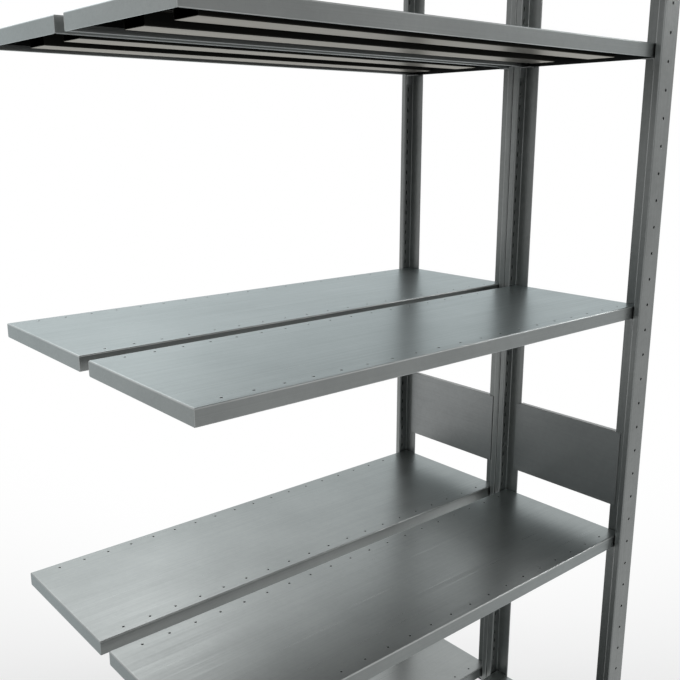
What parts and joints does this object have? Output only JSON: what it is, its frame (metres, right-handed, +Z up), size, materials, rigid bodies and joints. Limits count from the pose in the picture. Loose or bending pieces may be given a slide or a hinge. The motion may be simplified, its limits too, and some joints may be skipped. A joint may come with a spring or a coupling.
{
  "type": "double-sided library shelving bay",
  "caption": "Double-sided add-on bay of galvanised steel library shelving: T-section posts at one end carry folded-edge shelves that lift off hook-in clips on both sides.",
  "frame": {"origin": "on the floor, in the middle of the unit's length and depth", "axes": "+X along the shelves towards the frame of posts, +Y from the front side to the back side, +Z up"},
  "size_m": [1.0276, 0.664, 2],
  "materials": {
    "galvanised_steel": "hot-dip zinc coated sheet, satin",
    "galvanised_steel_shelf": "zinc coated sheet, bright rolled",
    "moulded_plastic": "moulded, fine matt"
  },
  "bodies": {
    "frame": {"post_front_outer": "galvanised_steel", "foot_front_outer": "moulded_plastic", "cap_front_outer": "moulded_plastic", "post_front_inner": "galvanised_steel", "foot_front_inner": "moulded_plastic", "cap_front_inner": "moulded_plastic", "tie_plate_front_lower": "galvanised_steel", "tie_plate_front_upper": "galvanised_steel", "clip_front_outer_1": "galvanised_steel", "clip_front_inner_1": "galvanised_steel", "clip_front_outer_2": "galvanised_steel", "clip_front_inner_2": "galvanised_steel", "clip_front_outer_3": "galvanised_steel", "clip_front_inner_3": "galvanised_steel", "clip_front_outer_4": "galvanised_steel", "clip_front_inner_4": "galvanised_steel", "clip_front_outer_5": "galvanised_steel", "clip_front_inner_5": "galvanised_steel", "post_back_outer": "galvanised_steel", "foot_back_outer": "moulded_plastic", "cap_back_outer": "moulded_plastic", "post_back_inner": "galvanised_steel", "foot_back_inner": "moulded_plastic", "cap_back_inner": "moulded_plastic", "tie_plate_back_lower": "galvanised_steel", "tie_plate_back_upper": "galvanised_steel", "clip_back_outer_1": "galvanised_steel", "clip_back_inner_1": "galvanised_steel", "clip_back_outer_2": "galvanised_steel", "clip_back_inner_2": "galvanised_steel", "clip_back_outer_3": "galvanised_steel", "clip_back_inner_3": "galvanised_steel", "clip_back_outer_4": "galvanised_steel", "clip_back_inner_4": "galvanised_steel", "clip_back_outer_5": "galvanised_steel", "clip_back_inner_5": "galvanised_steel"},
    "shelf_front_1": {"shelf_front_1": "galvanised_steel_shelf"},
    "shelf_front_2": {"shelf_front_2": "galvanised_steel_shelf"},
    "shelf_front_3": {"shelf_front_3": "galvanised_steel_shelf"},
    "shelf_front_4": {"shelf_front_4": "galvanised_steel_shelf"},
    "shelf_front_5": {"shelf_front_5": "galvanised_steel_shelf"},
    "shelf_back_1": {"shelf_back_1": "galvanised_steel_shelf"},
    "shelf_back_2": {"shelf_back_2": "galvanised_steel_shelf"},
    "shelf_back_3": {"shelf_back_3": "galvanised_steel_shelf"},
    "shelf_back_4": {"shelf_back_4": "galvanised_steel_shelf"},
    "shelf_back_5": {"shelf_back_5": "galvanised_steel_shelf"}
  },
  "joints": [
    {"name": "lift_shelf_front_1", "type": "slide", "parent": "frame", "child": "shelf_front_1", "axis": [0, 0, 1], "range_m": [0, 0.045]},
    {"name": "lift_shelf_front_2", "type": "slide", "parent": "frame", "child": "shelf_front_2", "axis": [0, 0, 1], "range_m": [0, 0.045]},
    {"name": "lift_shelf_front_3", "type": "slide", "parent": "frame", "child": "shelf_front_3", "axis": [0, 0, 1], "range_m": [0, 0.045]},
    {"name": "lift_shelf_front_4", "type": "slide", "parent": "frame", "child": "shelf_front_4", "axis": [0, 0, 1], "range_m": [0, 0.045]},
    {"name": "lift_shelf_front_5", "type": "slide", "parent": "frame", "child": "shelf_front_5", "axis": [0, 0, 1], "range_m": [0, 0.045]},
    {"name": "lift_shelf_back_1", "type": "slide", "parent": "frame", "child": "shelf_back_1", "axis": [0, 0, 1], "range_m": [0, 0.045]},
    {"name": "lift_shelf_back_2", "type": "slide", "parent": "frame", "child": "shelf_back_2", "axis": [0, 0, 1], "range_m": [0, 0.045]},
    {"name": "lift_shelf_back_3", "type": "slide", "parent": "frame", "child": "shelf_back_3", "axis": [0, 0, 1], "range_m": [0, 0.045]},
    {"name": "lift_shelf_back_4", "type": "slide", "parent": "frame", "child": "shelf_back_4", "axis": [0, 0, 1], "range_m": [0, 0.045]},
    {"name": "lift_shelf_back_5", "type": "slide", "parent": "frame", "child": "shelf_back_5", "axis": [0, 0, 1], "range_m": [0, 0.045]}
  ]
}
